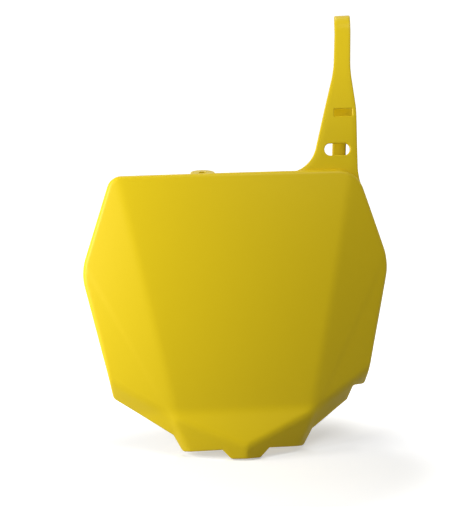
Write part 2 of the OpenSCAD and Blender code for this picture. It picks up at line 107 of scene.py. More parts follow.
def table_at(table: Table, key: float) -> float:
    """Read a table at a key, with straight lines between its entries.

    Args:
        table: The table, its keys rising.
        key: The key to look up; beyond the ends the end values hold.

    Returns:
        The value there.
    """
    if key <= table[0][0]:
        return table[0][1]
    for (k0, v0), (k1, v1) in zip(table, table[1:]):
        if key <= k1:
            return v1 if k1 == k0 else mix(v0, v1, (key - k0) / (k1 - k0))
    return table[-1][1]


@dataclass(frozen=True)
class RimPoint:
    """A point of the outline with its inward normal, which is longer at a sharp corner."""

    at: Vector
    inward: Vector

    def inset(self, distance: float) -> Vector:
        """Return the point moved in by a distance."""
        return self.at + self.inward * distance


@dataclass(frozen=True)
class Turn:
    """A rounded corner at v on the way from a to b."""

    a: Vector
    v: Vector
    b: Vector
    radius: float
    least: int = 3

    def points(self, chord: float) -> list[RimPoint]:
        """Walk round the corner.

        Args:
            chord: Longest step between two points, in millimetres.

        Returns:
            The rim points, from one end of the turn to the other.
        """
        d1, d2 = (self.v - self.a).normalized(), (self.b - self.v).normalized()
        n1, n2 = right_of(d1), right_of(d2)
        if self.radius == 0:
            return [RimPoint(self.v, (n1 + n2) / (1 + n1.dot(n2)))]
        side = 1 if d1.x * d2.y - d1.y * d2.x < 0 else -1
        centre = self.v + side * self.radius * (n1 + n2) / (1 + n1.dot(n2))
        turn = acos(max(-1.0, min(1.0, d1.dot(d2))))
        count = max(self.least, ceil(turn * self.radius / chord))
        walk = []
        for k in range(count + 1):
            angle = turn * k / count
            out = d1 * sin(angle) - side * cos(angle) * n1
            walk.append(RimPoint(centre + self.radius * out, -side * out))
        return walk


def rounded(path: list[tuple[float, float, float]], chord: float) -> list[Vector]:
    """Round the inner corners of a path.

    Args:
        path: Corners as x, z and radius; the ends have radius 0.
        chord: Longest step round a corner.

    Returns:
        The points of the rounded path.
    """
    corners = [Vector(c[:2]) for c in path]
    walk = [corners[0]]
    for k in range(1, len(path) - 1):
        turn = Turn(corners[k - 1], corners[k], corners[k + 1], path[k][2])
        walk += [p.at for p in turn.points(chord)]
    return walk + [corners[-1]]


def by_height(walk: Iterable[Vector]) -> Table:
    """Turn points into a table of x by height."""
    return [(p.y, p.x) for p in walk]


# The board's form


@dataclass(frozen=True)
class Face:
    """The moulded face: a shallow dome, folded back at the wings, the bands and the chin."""

    top_w: float = 205
    waist_w: float = 258
    waist_drop: float = 78
    skirt_w: float = 211
    skirt_drop: float = 183
    dome_across_r: float = 850
    dome_along_r: float = 980
    dome_drop: float = 95
    wing_fold_in: float = 5
    wing_fold_low_w: float = 111
    wing_angle: float = 11.6
    knee_drop: float = 200.5
    band_drop: float = 167
    band_angle: float = 45
    chin_drop: float = 225
    chin_angle: float = 36
    kick_drop: float = 195
    kick_angle: float = 19.4
    pad_root_w: float = 116
    pad_root_drop: float = 214.3
    pad_w: float = 101
    pad_drop: float = 228.5
    pad_facet_w: float = 6
    pad_facet_angle: float = 35
    fold_soft: float = 4
    crease_soft: float = 1
    wall: float = 2.5

    @property
    def top(self) -> Vector:
        """Sharp upper corner on the right."""
        return Vector((self.top_w / 2, 0))

    @property
    def waist(self) -> Vector:
        """Sharp widest corner on the right."""
        return Vector((self.waist_w / 2, -self.waist_drop))

    @property
    def skirt(self) -> Vector:
        """Sharp lower side corner on the right."""
        return Vector((self.skirt_w / 2, -self.skirt_drop))

    @property
    def wing_fold(self) -> tuple[Vector, Vector]:
        """Upper and lower end of the right wing's fold."""
        top = Vector((self.top_w / 2 - self.wing_fold_in, 0))
        return top, Vector((self.wing_fold_low_w / 2, -self.knee_drop))

    @property
    def chin(self) -> Vector:
        """Lowest point of the lower fold, on the centre plane."""
        return Vector((0, -self.chin_drop))

    @property
    def pad_crease(self) -> tuple[Vector, Vector]:
        """Upper and lower end of the crease beside the right pad's facet."""
        aside, w = (self.pad_root_w - self.pad_facet_w) / 2, self.pad_facet_w
        return Vector((aside, w - self.pad_root_drop)), Vector((self.pad_w / 2 - w, -self.pad_drop))

    def side_at(self, z: float) -> Vector:
        """Return the point of the lower side edge at height z."""
        share = (z - self.waist.y) / (self.skirt.y - self.waist.y)
        return mix(self.waist, self.skirt, share)

    def depth(self, p: Vector) -> float:
        """Measure how deep the face lies.

        Args:
            p: A point in [x, z].

        Returns:
            Its distance behind the dome's summit there.
        """
        q = Vector((abs(p.x), p.y))
        fold_top, knee = self.wing_fold
        dome = q.x**2 / (2 * self.dome_across_r)
        dome += (q.y + self.dome_drop) ** 2 / (2 * self.dome_along_r)
        wing = ramp(off_line(q, fold_top, knee), self.fold_soft) * tan_deg(self.wing_angle)
        side = self.side_at(-self.band_drop)
        below = max(off_line(q, knee, self.chin), off_line(q, side, knee))
        d = ramp(below, self.fold_soft)
        band = d * tan_deg(self.band_angle)
        facet = ramp(off_line(q, *self.pad_crease), self.crease_soft) * tan_deg(self.pad_facet_angle)
        pad = d * tan_deg(self.chin_angle) + facet
        low = band - ramp(band - pad, self.crease_soft)
        kick = ramp(-self.kick_drop - q.y, self.fold_soft) * tan_deg(self.kick_angle)
        return dome + wing + low - kick

    def back(self, p: Vector) -> float:
        """Measure how deep the wall's back lies.

        Args:
            p: A point in [x, z].

        Returns:
            The depth of the face there, and the slanted wall's.
        """
        aside, up = Vector((SLOPE_STEP, 0)), Vector((0, SLOPE_STEP))
        across = self.depth(p + aside) - self.depth(p - aside)
        along = self.depth(p + up) - self.depth(p - up)
        slope = hypot(across, along) / (2 * SLOPE_STEP)
        return self.depth(p) + self.wall * sqrt(1 + slope**2)


class Half(Enum):
    """The two halves of the outline, which differ in two corners."""

    PLAIN = "left"
    NOTCHED = "right"


class Side(Enum):
    """Which finish a face of the moulding takes."""

    FRONT = 0
    BACK = 1


@dataclass(frozen=True)
class Outline:
    """The outline of the board, with the clearance notch in its lower right corner."""

    face: Face
    top_r: float = 12
    strap_corner_r: float = 24
    waist_r: float = 45
    skirt_r: float = 6
    pad_r: float = 3.2
    tongue_root_w: float = 39
    tongue_root_drop: float = 227
    tongue_w: float = 24
    tongue_drop: float = 235
    notch_drop: float = 180.3
    notch_x: float = 94.7
    notch_low_x: float = 90.6
    notch_r: float = 2.5
    chord: float = 0.7

    def corners(self, half: Half) -> list[tuple[Vector, float]]:
        """List one half's corners from the top down.

        Args:
            half: Which half.

        Returns:
            Each corner, drawn on the right, with its radius.
        """
        f = self.face
        root = Vector((f.pad_root_w / 2, -f.pad_root_drop))
        low = [
            (root, 0.0),
            (Vector((f.pad_w / 2, -f.pad_drop)), self.pad_r),
            (Vector((self.tongue_root_w / 2, -self.tongue_root_drop)), 0.0),
            (Vector((self.tongue_w / 2, -self.tongue_drop)), self.pad_r),
        ]
        if half is Half.PLAIN:
            return [(f.top, self.top_r), (f.waist, self.waist_r), (f.skirt, self.skirt_r)] + low
        low_share = (self.notch_low_x - root.x) / (f.skirt.x - root.x)
        notch = [
            (f.side_at(-self.notch_drop), self.pad_r),
            (Vector((self.notch_x, -self.notch_drop)), self.notch_r),
            (mix(root, f.skirt, low_share), self.pad_r),
        ]
        return [(f.top, self.strap_corner_r), (f.waist, self.waist_r)] + notch + low

    def ring(self) -> list[RimPoint]:
        """Walk round the outline.

        Returns:
            Its points, clockwise from the middle of the top edge.
        """
        left = [(Vector((-c.x, c.y)), r) for c, r in reversed(self.corners(Half.PLAIN))]
        stops = self.corners(Half.NOTCHED) + left
        ring = []
        for k, (v, r) in enumerate(stops):
            a, b = stops[k - 1][0], stops[(k + 1) % len(stops)][0]
            ring += Turn(a, v, b, r).points(self.chord)
        return ring

    def strap_corner(self) -> Turn:
        """Return the rounded corner below the strap."""
        return Turn(Vector((0, 0)), self.face.top, self.face.waist, self.strap_corner_r)


@dataclass(frozen=True)
class Ear:
    """The level half-round tab that takes the bolt."""

    x: float = 27
    reach: float = 7.1
    radius: float = 10
    thickness: float = 3
    bolt_d: float = 6.4
    root_r: float = 2
    edge: float = 0.5
    root_steps: int = 8
    tip_steps: int = 48
    bolt_steps: int = 64
    edge_steps: int = 3
    hard_angle: float = 57

    def solid(self, root_y: float) -> BMesh:
        """Build the tab without its hole, level and centred on the bolt.

        Args:
            root_y: Distance from the bolt to the tab's root inside the rim.

        Returns:
            The closed mesh.
        """
        bm = bmesh.new()
        wide, r = self.radius + self.root_r, self.root_r
        left = [(r * sin(a) - wide, r * (1 - cos(a)) - root_y) for a in quarter(self.root_steps)]
        right = [(-x, y) for x, y in reversed(left)]
        turn = [pi * (1 - k / self.tip_steps) for k in range(self.tip_steps + 1)]
        tip = [(self.radius * cos(a), self.radius * sin(a)) for a in turn]
        low = [bm.verts.new((x, y, -self.thickness / 2)) for x, y in left + tip + right]
        lifted = bmesh.ops.extrude_face_region(bm, geom=[bm.faces.new(low)])["geom"]
        top = [g for g in lifted if isinstance(g, BMVert)]
        bmesh.ops.translate(bm, verts=top, vec=(0, 0, self.thickness))
        bmesh.ops.recalc_face_normals(bm, faces=bm.faces)
        hard = [e for e in bm.edges if e.calc_face_angle() > radians(self.hard_angle)]
        shape = {"offset": self.edge, "segments": self.edge_steps, "profile": 0.5}
        bmesh.ops.bevel(bm, geom=hard, affect="EDGES", material=-1, **shape)
        return bm

    def pin(self) -> BMesh:
        """Build the rod that cuts the bolt hole.

        Returns:
            The closed mesh, centred on the bolt.
        """
        bm, r = bmesh.new(), self.bolt_d / 2
        size = {"radius1": r, "radius2": r, "depth": 2 * self.thickness}
        bmesh.ops.create_cone(bm, cap_ends=True, segments=self.bolt_steps, **size)
        return bm


@dataclass(frozen=True)
class Shell:
    """The board without its ear and strap."""

    face: Face
    outline: Outline
    ear: Ear
    rim_r: float
    rim_low_r: float = 1.2
    lip: float = 3.6
    lip_low: float = 0.6
    rim_fade: float = 45
    edge_r: float = 0.45
    roll_steps: int = 6
    edge_steps: int = 3
    pitch: float = 2.1
    fold_steps: tuple[float, ...] = (-4, -2, 0, 2, 4)
    fold_near: float = 6.3
    on_line: float = 1e-4
    sliver: float = 0.3
    seam: float = 1e-3
    crumb: float = 0.04

    def low_share(self, p: Vector) -> float:
        """Return how far the rim at p has faded into the bottom edge."""
        return smooth((-p.y - self.face.skirt_drop + self.rim_fade) / self.rim_fade)

    def roll(self, p: Vector) -> float:
        """Return the outside radius of the rim at p."""
        return mix(self.rim_r, self.rim_low_r, self.low_share(p))

    def rim_depth(self, p: Vector) -> float:
        """Measure how deep the rim's back edge lies.

        Args:
            p: A point of the outline.

        Returns:
            Its depth there.
        """
        near_ear = 0.0
        if p.y > -self.rim_r:
            near_ear = 1 - smooth((abs(p.x + self.ear.x) - self.ear.radius) / self.ear.radius)
        lip = mix(self.lip, self.lip_low, max(self.low_share(p), near_ear))
        return max(self.face.depth(p) + self.roll(p), self.face.back(p)) + lip

    def section(self, rim: RimPoint) -> Table:
        """Draw the rim's section, from the front sheet round to the back sheet.

        Args:
            rim: The point of the outline.

        Returns:
            Pairs of inset and depth, the same number for every point.
        """
        r, e = self.roll(rim.at), self.edge_r
        back, wall = self.rim_depth(rim.at), self.face.wall
        walk = []
        for a in quarter(self.roll_steps):
            d = r * (1 - sin(a))
            walk.append((d, self.face.depth(rim.inset(d)) + r * (1 - cos(a))))
        turn = [(1 - cos(a), 1 - sin(a)) for a in quarter(self.edge_steps)]
        root = self.face.back(rim.inset(self.rim_r))
        fillet = self.rim_r - wall
        walk += [(e * c, back - e * d) for c, d in turn]
        walk += [(wall - e * d, back - e * c) for c, d in turn]
        walk += [(wall + fillet * c, root + fillet * d) for c, d in turn]
        return walk

    def cut(self, bm: BMesh, faces: list[BMFace], at: Vector, across: Vector) -> None:
        """Cut faces of the flat sheet along a line.

        Args:
            bm: The sheet, lying in the x-z plane.
            faces: The faces to cut.
            at: A point of the line.
            across: The direction across the line.
        """
        geom = list({g for f in faces for g in (f, *f.edges, *f.verts)})
        plane = {"plane_co": (at.x, 0, at.y), "plane_no": (across.x, 0, across.y)}
        bmesh.ops.bisect_plane(bm, geom=geom, dist=self.on_line, **plane)

    def cut_fold(self, bm: BMesh, a: Vector, b: Vector) -> None:
        """Cut the sheet along both copies of a fold, and beside it.

        Args:
            bm: The sheet.
            a: One end of the fold on the right half.
            b: The other end.
        """
        along = (b - a).normalized()
        across = right_of(along)
        for side in (1, -1):
            for step in self.fold_steps:
                near = []
                for f in bm.faces:
                    c = f.calc_center_median()
                    q = Vector((c.x * side, c.z)) - a
                    if 0 < q.dot(along) < (b - a).length and abs(q.dot(across)) < self.fold_near:
                        near.append(f)
                p = a + across * step
                self.cut(bm, near, Vector((p.x * side, p.y)), Vector((across.x * side, across.y)))

    def sheet(self, bm: BMesh, layers: tuple) -> None:
        """Lay out the flat sheet inside the rim and cut it into a fine grid.

        Args:
            bm: An empty mesh.
            layers: The layers that hold each rim point and its inward normal.
        """
        at_layer, inward_layer = layers
        verts = []
        for rim in self.outline.ring():
            q = rim.inset(self.rim_r)
            v = bm.verts.new((q.x, 0, q.y))
            v[at_layer] = (rim.at.x, 0, rim.at.y)
            v[inward_layer] = (rim.inward.x, 0, rim.inward.y)
            verts.append(v)
        bm.faces.new(verts)
        f = self.face
        columns = ceil(f.waist_w / self.pitch)
        for k in range(1, columns):
            x = f.waist_w * (k / columns - 0.5)
            self.cut(bm, list(bm.faces), Vector((x, 0)), Vector((1, 0)))
        high = self.outline.tongue_drop
        rows = ceil(high / self.pitch)
        for k in range(1, rows):
            self.cut(bm, list(bm.faces), Vector((0, -high * k / rows)), Vector((0, 1)))
        fold_top, knee = f.wing_fold
        self.cut_fold(bm, fold_top, knee)
        self.cut_fold(bm, f.side_at(-f.band_drop), knee)
        self.cut_fold(bm, knee, f.chin)
        self.weld_slivers(bm)

    def weld_slivers(self, bm: BMesh) -> None:
        """Merge points that the cuts left almost on each other.

        Args:
            bm: The flat sheet.
        """
        near = {}
        for v in (v for v in bm.verts if v.is_boundary):
            for e in v.link_edges:
                other = e.other_vert(v)
                if not other.is_boundary and e.calc_length() < self.sliver:
                    near[other] = v
        bmesh.ops.weld_verts(bm, targetmap=near)
        inner = [v for v in bm.verts if not v.is_boundary]
        bmesh.ops.remove_doubles(bm, verts=inner, dist=self.sliver)

    def solid(self) -> BMesh:
        """Build the shell: both sheets and the rolled rim between them.

        Returns:
            The closed mesh in the face frame.
        """
        bm = bmesh.new()
        at_layer = bm.verts.layers.float_vector.new("rim_at")
        inward_layer = bm.verts.layers.float_vector.new("rim_inward")
        self.sheet(bm, (at_layer, inward_layer))
        front = list(bm.faces)
        copy = bmesh.ops.duplicate(bm, geom=list(bm.verts) + list(bm.edges) + front)["geom"]
        back = [g for g in copy if isinstance(g, BMFace)]
        back_verts = [g for g in copy if isinstance(g, BMVert)]
        front_verts = {v for f in front for v in f.verts}
        edges = [e for f in front for e in f.edges if e.is_boundary]
        bmesh.ops.reverse_faces(bm, faces=back)
        for f in back:
            f.material_index = Side.BACK.value
        last: list[BMVert] = []
        steps = len(self.section(self.outline.ring()[0]))
        for k in range(steps):
            made = bmesh.ops.extrude_edge_only(bm, edges=edges)["geom"]
            last = [g for g in made if isinstance(g, BMVert)]
            edges = [g for g in made if isinstance(g, BMEdge) and g.is_boundary]
            for v in last:
                at, inward = v[at_layer], v[inward_layer]
                rim = RimPoint(Vector((at.x, at.z)), Vector((inward.x, inward.z)))
                inset, depth = self.section(rim)[k]
                q = rim.inset(inset)
                v.co = (q.x, depth, q.y)
            side = Side.BACK if k >= steps - self.edge_steps else Side.FRONT
            for g in made:
                if isinstance(g, BMFace):
                    g.material_index = side.value
        for v in front_verts:
            v.co.y = self.face.depth(Vector((v.co.x, v.co.z)))
        for v in back_verts:
            v.co.y = self.face.back(Vector((v.co.x, v.co.z)))
        seam = last + [v for v in back_verts if v.is_boundary]
        bmesh.ops.remove_doubles(bm, verts=seam, dist=self.seam)
        bmesh.ops.remove_doubles(bm, verts=bm.verts, dist=self.crumb)
        bmesh.ops.recalc_face_normals(bm, faces=bm.faces)
        return bm


@dataclass(frozen=True)
class Opening:
    """An opening with round corners in the strap's front run, its middle at x and z."""

    x: float
    z: float
    length: float
    height: float
    corner_r: float
    corner_steps: int = 8
    same: float = 1e-6

    def walk(self, grow: float) -> list[Vector]:
        """Walk round the opening.

        Args:
            grow: How far the walk lies outside it.

        Returns:
            The points about its middle, none of them double.
        """
        along, up = self.length / 2 - self.corner_r, self.height / 2 - self.corner_r
        walk = []
        for q, (side, rise) in enumerate(((1, 1), (-1, 1), (-1, -1), (1, -1))):
            middle = Vector((side * along, rise * up))
            for k in range(self.corner_steps + 1):
                a = radians(90 * (q + k / self.corner_steps))
                walk.append(middle + (self.corner_r + grow) * Vector((cos(a), sin(a))))
        return [p for k, p in enumerate(walk) if (p - walk[k - 1]).length > self.same]


@dataclass(frozen=True)
class Station:
    """A section of the strap: the middle of its outer face, its directions and half its width."""

    at: Vector
    width: Vector
    thick: Vector
    half: float


@dataclass(frozen=True)
class Strap:
    """The band that rises from the corner, loops over a crossbar and ends in a catch."""

    face: Face
    outline: Outline
    thickness: float = 3
    edge_r: float = 1.1
    top: float = 130
    loop_gap: float = 22
    loop_w: float = 13.3
    loop_x: float = 94.9
    loop_turn: float = 11
    neck_w: float = 13.9
    neck_x: float = 93.2
    neck_z: float = 83
    shoulder_z: float = 50
    edge_x: float = 104.3
    edge_drop: float = 9.6
    edge_bend_r: float = 55
    shoulder_r: float = 80
    neck_r: float = 95
    foot_w: float = 41
    flare_r: float = 26.5
    foot_run: float = 5.2
    foot_turn: float = 5
    back: float = 4.2
    window: Opening = Opening(x=92.9, z=47.7, length=15.6, height=6.1, corner_r=0.6)
    slot: Opening = Opening(x=86.9, z=17, length=22.2, height=10, corner_r=5)
    broken_edge: float = 0.6
    catch_w: float = 21
    catch_top_z: float = 58
    catch_low_z: float = 41
    catch_gap: float = 10
    catch_rise: float = 16
    catch_rise_r: float = 16.5
    catch_fall: float = 8
    catch_r: float = 5.5
    tail_w: float = 11.6
    tail_z: float = 4
    tail_lean: float = 7.2
    tail_bend_r: float = 60
    tip_steps: int = 18
    tip_kept: int = 15
    tip_rows: int = 4
    tip_ease: float = 1.3
    edge_steps: int = 3
    edge_share: float = 0.8
    hold_share: float = 0.7
    step: float = 1.4
    chord: float = 1.2

    @property
    def loop_r(self) -> float:
        """Outside radius of the loop."""
        return self.loop_gap / 2 + self.thickness

    @property
    def bend_z(self) -> float:
        """Height at which the loop starts."""
        return self.top - self.loop_r

    @cached_property
    def left_edge(self) -> tuple[Table, float]:
        """Left edge of the front run.

        Returns:
            The table of x by height, and the x at which the flare starts.
        """
        wall, foot_z = self.face.wall, -self.face.wall / 2
        foot_x = self.edge_x - self.foot_w
        path = [
            (foot_x - self.flare_r, foot_z, 0),
            (foot_x, foot_z, self.flare_r),
            (self.neck_x - self.neck_w / 2, self.neck_z, self.neck_r),
            (self.loop_x - self.loop_w / 2, self.bend_z, 0),
        ]
        flare, *rest = rounded(path, self.chord)[1:]
        corner = self.outline.strap_corner().points(self.chord)
        side = right_of((self.face.waist - self.face.top).normalized())
        foot = [self.foot_end() + side * wall / 2]
        foot += [p.inset(wall / 2) for p in reversed(corner[1:])]
        return by_height(foot + [flare] + rest), flare.x

    def foot_end(self) -> Vector:
        """Return the end of the foot on the side edge."""
        end = self.outline.strap_corner().points(self.chord)[-1].at
        return end + (self.face.waist - end) * self.foot_run / (self.face.waist_drop + end.y)

    @cached_property
    def right_edge(self) -> Table:
        """Right edge of the front run.

        Returns:
            The table of x by height.
        """
        end = self.foot_end()
        path = [
            (end.x, end.y, 0),
            (self.edge_x, -self.edge_drop, self.edge_bend_r),
            (self.edge_x, self.shoulder_z, self.shoulder_r),
            (self.neck_x + self.neck_w / 2, self.neck_z, self.neck_r),
            (self.loop_x + self.loop_w / 2, self.bend_z, 0),
        ]
        return by_height(rounded(path, self.chord))

    def run_turn(self, z: float) -> float:
        """Return the angle in radians by which the front run faces the side at height z."""
        return radians(mix(self.foot_turn, -self.loop_turn, smooth(z / self.bend_z)))

    def run_station(self, z: float) -> Station:
        """Place a section of the front run.

        Args:
            z: Its height.

        Returns:
            The section.
        """
        left_table, flare_x = self.left_edge
        left, right = table_at(left_table, z), table_at(self.right_edge, z)
        x, a = (left + right) / 2, self.run_turn(z)
        strap_y = self.face.depth(Vector((flare_x, 0))) + self.back
        return Station(
            Vector((x, strap_y + (x - flare_x) * tan_deg(self.foot_turn), z)),
            Vector((cos(a), sin(a), 0)),
            Vector((-sin(a), cos(a), 0)),
            (right - left) / 2,
        )

    def tail_tables(self, loop_end: Vector, catch: Vector) -> tuple[Table, Table]:
        """Tabulate the tail by height.

        Args:
            loop_end: Where the loop hands over, as distance back and height.
            catch: Where the catch turns upright.

        Returns:
            The tables of half width and of distance back.
        """
        r = self.tail_w / 2
        low_z = self.tail_z + r
        side = [
            (self.loop_w / 2, self.bend_z, 0),
            (self.loop_w / 2, self.catch_top_z + self.catch_rise, self.catch_rise_r),
            (self.catch_w / 2, self.catch_top_z, self.catch_r),
            (self.catch_w / 2, self.catch_low_z, self.catch_r),
            (r, self.catch_low_z - self.catch_fall, self.catch_r),
            (r, low_z, 0),
        ]
        angles = quarter(self.tip_steps)[1 : self.tip_kept + 1]
        tip = [Vector((r * cos(a), low_z - r * sin(a))) for a in angles]
        halves = rounded(side, self.chord) + tip
        path = rounded([(*loop_end, 0), (*catch, self.tail_bend_r), (catch.x, 0, 0)], self.chord)
        return by_height(reversed(halves)), by_height(reversed(path))

    def behind(self, run: Station, back: float, z: float, heading: Vector, half: float) -> Station:
        """Place a section of the loop or the tail.

        Args:
            run: The last section of the front run.
            back: Distance behind it.
            z: Height.
            heading: Which way the band runs, as back and up.
            half: Half the band's width.

        Returns:
            The section.
        """
        share = (self.bend_z - min(z, self.bend_z)) / (self.bend_z - self.tail_z)
        at = run.at + run.thick * back + Vector((0, 0, z - self.bend_z))
        thick = run.thick * heading.y - Vector((0, 0, heading.x))
        return Station(at - run.width * self.tail_lean * share, run.width, thick, half)

    def stations(self) -> list[Station]:
        """Place the strap's sections.

        Returns:
            All of them, from the foot round the loop to the tip of the tail.
        """
        foot_z = self.left_edge[0][0][0]
        count = ceil((self.bend_z - foot_z) / self.step)
        run = [self.run_station(mix(foot_z, self.bend_z, k / count)) for k in range(count + 1)]
        start, r = run[-1], self.loop_r
        catch_z = (self.catch_top_z + self.catch_low_z) / 2
        fall = self.bend_z - catch_z
        lean = atan((2 * r - self.catch_gap - 2 * self.thickness) / fall)
        catch = Vector((r * (1 + 1 / cos(lean)) - fall * tan(lean), catch_z))
        loop, last = [], Vector((0, 0))
        count = ceil((pi + lean) * r / self.step)
        for k in range(1, count + 1):
            a = (pi + lean) * k / count
            last = Vector((r * (1 - cos(a)), self.bend_z + r * sin(a)))
            heading = Vector((sin(a), cos(a)))
            loop.append(self.behind(start, last.x, last.y, heading, self.loop_w / 2))
        halves, backs = self.tail_tables(last, catch)
        tail, tip_z = [], halves[0][0]
        count = ceil((last.y - tip_z) / self.step)
        for k in range(1, count + 1):
            z = mix(last.y, tip_z, k / count)
            if k >= count - self.tip_rows:
                z = mix(tip_z, last.y, ((count - k) / count) ** self.tip_ease)
            drift = table_at(backs, z - SLOPE_STEP) - table_at(backs, z + SLOPE_STEP)
            heading = Vector((drift, -2 * SLOPE_STEP)).normalized()
            back, half = table_at(backs, z), table_at(halves, z)
            tail.append(self.behind(start, back, z, heading, half))
        return run + loop + tail

    def section(self, st: Station) -> list[Vector]:
        """Draw a section: a rectangle with rounded edges.

        Args:
            st: Where it lies, and its width.

        Returns:
            Its points, the same number for every section.
        """
        r = min(self.edge_r, self.edge_share * st.half)
        hold = self.hold_share * (st.half - r)
        flat = []
        for q in range(4):
            x = st.half - r if q in (0, 3) else r - st.half
            y = self.thickness - r if q < 2 else r
            for k in range(self.edge_steps + 1):
                a = radians(90 * q + 90 * k / self.edge_steps)
                flat.append((x + r * cos(a), y + r * sin(a)))
            if q == 0:
                flat += [(hold, self.thickness), (-hold, self.thickness)]
            if q == 2:
                flat += [(-hold, 0), (hold, 0)]
        return [st.at + st.width * x + st.thick * y for x, y in flat]

    def solid(self) -> BMesh:
        """Sweep the band.

        Returns:
            The closed mesh, its window and slot still uncut.
        """
        bm = bmesh.new()
        index = bm.verts.layers.int.new("place")
        stations = self.stations()
        ring = []
        for k, p in enumerate(self.section(stations[0])):
            v = bm.verts.new(p)
            v[index] = k
            ring.append(v)
        edges = [bm.edges.new((ring[k - 1], ring[k])) for k in range(len(ring))]
        for st in stations[1:]:
            made = bmesh.ops.extrude_edge_only(bm, edges=edges)["geom"]
            points = self.section(st)
            for g in made:
                if isinstance(g, BMVert):
                    g.co = points[g[index]]
            verts = {g for g in made if isinstance(g, BMVert)}
            edges = [g for g in made if isinstance(g, BMEdge) and set(g.verts) <= verts]
        bmesh.ops.holes_fill(bm, edges=[e for e in bm.edges if e.is_boundary], sides=0)
        bmesh.ops.recalc_face_normals(bm, faces=bm.faces)
        return bm

    def cutter(self, opening: Opening) -> BMesh:
        """Build the prism that cuts an opening through the front run and breaks its edges.

        Args:
            opening: The window or the slot.

        Returns:
            The closed mesh.
        """
        bm = bmesh.new()
        t, b = self.thickness, self.broken_edge
        rings = []
        for depth, grow in ((-t, b), (0, b), (b, 0), (t - b, 0), (t, b), (2 * t, b)):
            rings.append([bm.verts.new((p.x, depth, p.y)) for p in opening.walk(grow)])
        bm.faces.new(rings[0])
        bm.faces.new(rings[-1])
        for near, far in zip(rings, rings[1:]):
            for k in range(len(near)):
                bm.faces.new((near[k - 1], near[k], far[k], far[k - 1]))
        bmesh.ops.recalc_face_normals(bm, faces=bm.faces)
        st, turn = self.run_station(opening.z), self.run_turn(opening.z)
        y = st.at.y + (opening.x - st.at.x) * sin(turn)
        place = Matrix.Translation((opening.x, y, opening.z)) @ Matrix.Rotation(turn, 4, "Z")
        bmesh.ops.transform(bm, matrix=place, verts=bm.verts)
        return bm


# Objects and nodes


def new_object(name: str, data: ID | BMesh) -> Object:
    """Put an object into the scene, at the origin.

    Args:
        name: Its name.
        data: Its camera or lamp, or a mesh as it was built, which is freed.

    Returns:
        The object.
    """
    if isinstance(data, BMesh):
        built, data = data, bpy.data.meshes.new(name)
        built.to_mesh(data)
        built.free()
    obj = bpy.data.objects.new(name, data)
    bpy.context.scene.collection.objects.link(obj)
    return obj


def wire(node: Node, feeds: dict[str | int, Feed]) -> Node:
    """Set or link inputs of a node.

    Args:
        node: The node.
        feeds: For each input, its value or the socket that is linked to it.

    Returns:
        The same node.
    """
    for name, feed in feeds.items():
        if isinstance(feed, NodeSocket):
            node.id_data.links.new(feed, node.inputs[name])
        else:
            node.inputs[name].default_value = feed
    return node


# Finishes


@dataclass(frozen=True)
class MouldedPlastic:
    """Yellow polypropylene as it comes from the mould."""

    name: str
    colour: tuple[float, float, float]
    deep_colour: tuple[float, float, float]
    roughness: float
    grain_scale: float
    grain_height: float
    flow_scale: float
    grain_strength: float = 0.35
    ior: float = 1.49
    specular: float = 0.25

    def material(self, grain: NodeTree) -> Material:
        """Build the material.

        Args:
            grain: The shared node group of the mould's grain.

        Returns:
            The finished material.
        """
        mat = bpy.data.materials.new(self.name)
        mat.use_nodes = True
        nodes = mat.node_tree.nodes
        mould = nodes.new("ShaderNodeGroup")
        mould.node_tree = grain
        feeds = {
            "Vector": nodes.new("ShaderNodeTexCoord").outputs["Object"],
            "Grain Scale": self.grain_scale,
            "Flow Scale": self.flow_scale,
            "Colour": (*self.colour, 1),
            "Deep Colour": (*self.deep_colour, 1),
            "Roughness": self.roughness,
        }
        wire(mould, feeds)
        feeds = {"Strength": self.grain_strength, "Distance": self.grain_height * MM}
        feeds["Height"] = mould.outputs["Height"]
        bump = wire(nodes.new("ShaderNodeBump"), feeds)
        feeds = {
            "IOR": self.ior,
            "Specular IOR Level": self.specular,
            "Base Color": mould.outputs["Colour"],
            "Roughness": mould.outputs["Roughness"],
            "Normal": bump.outputs["Normal"],
        }
        wire(nodes["Principled BSDF"], feeds)
        return mat


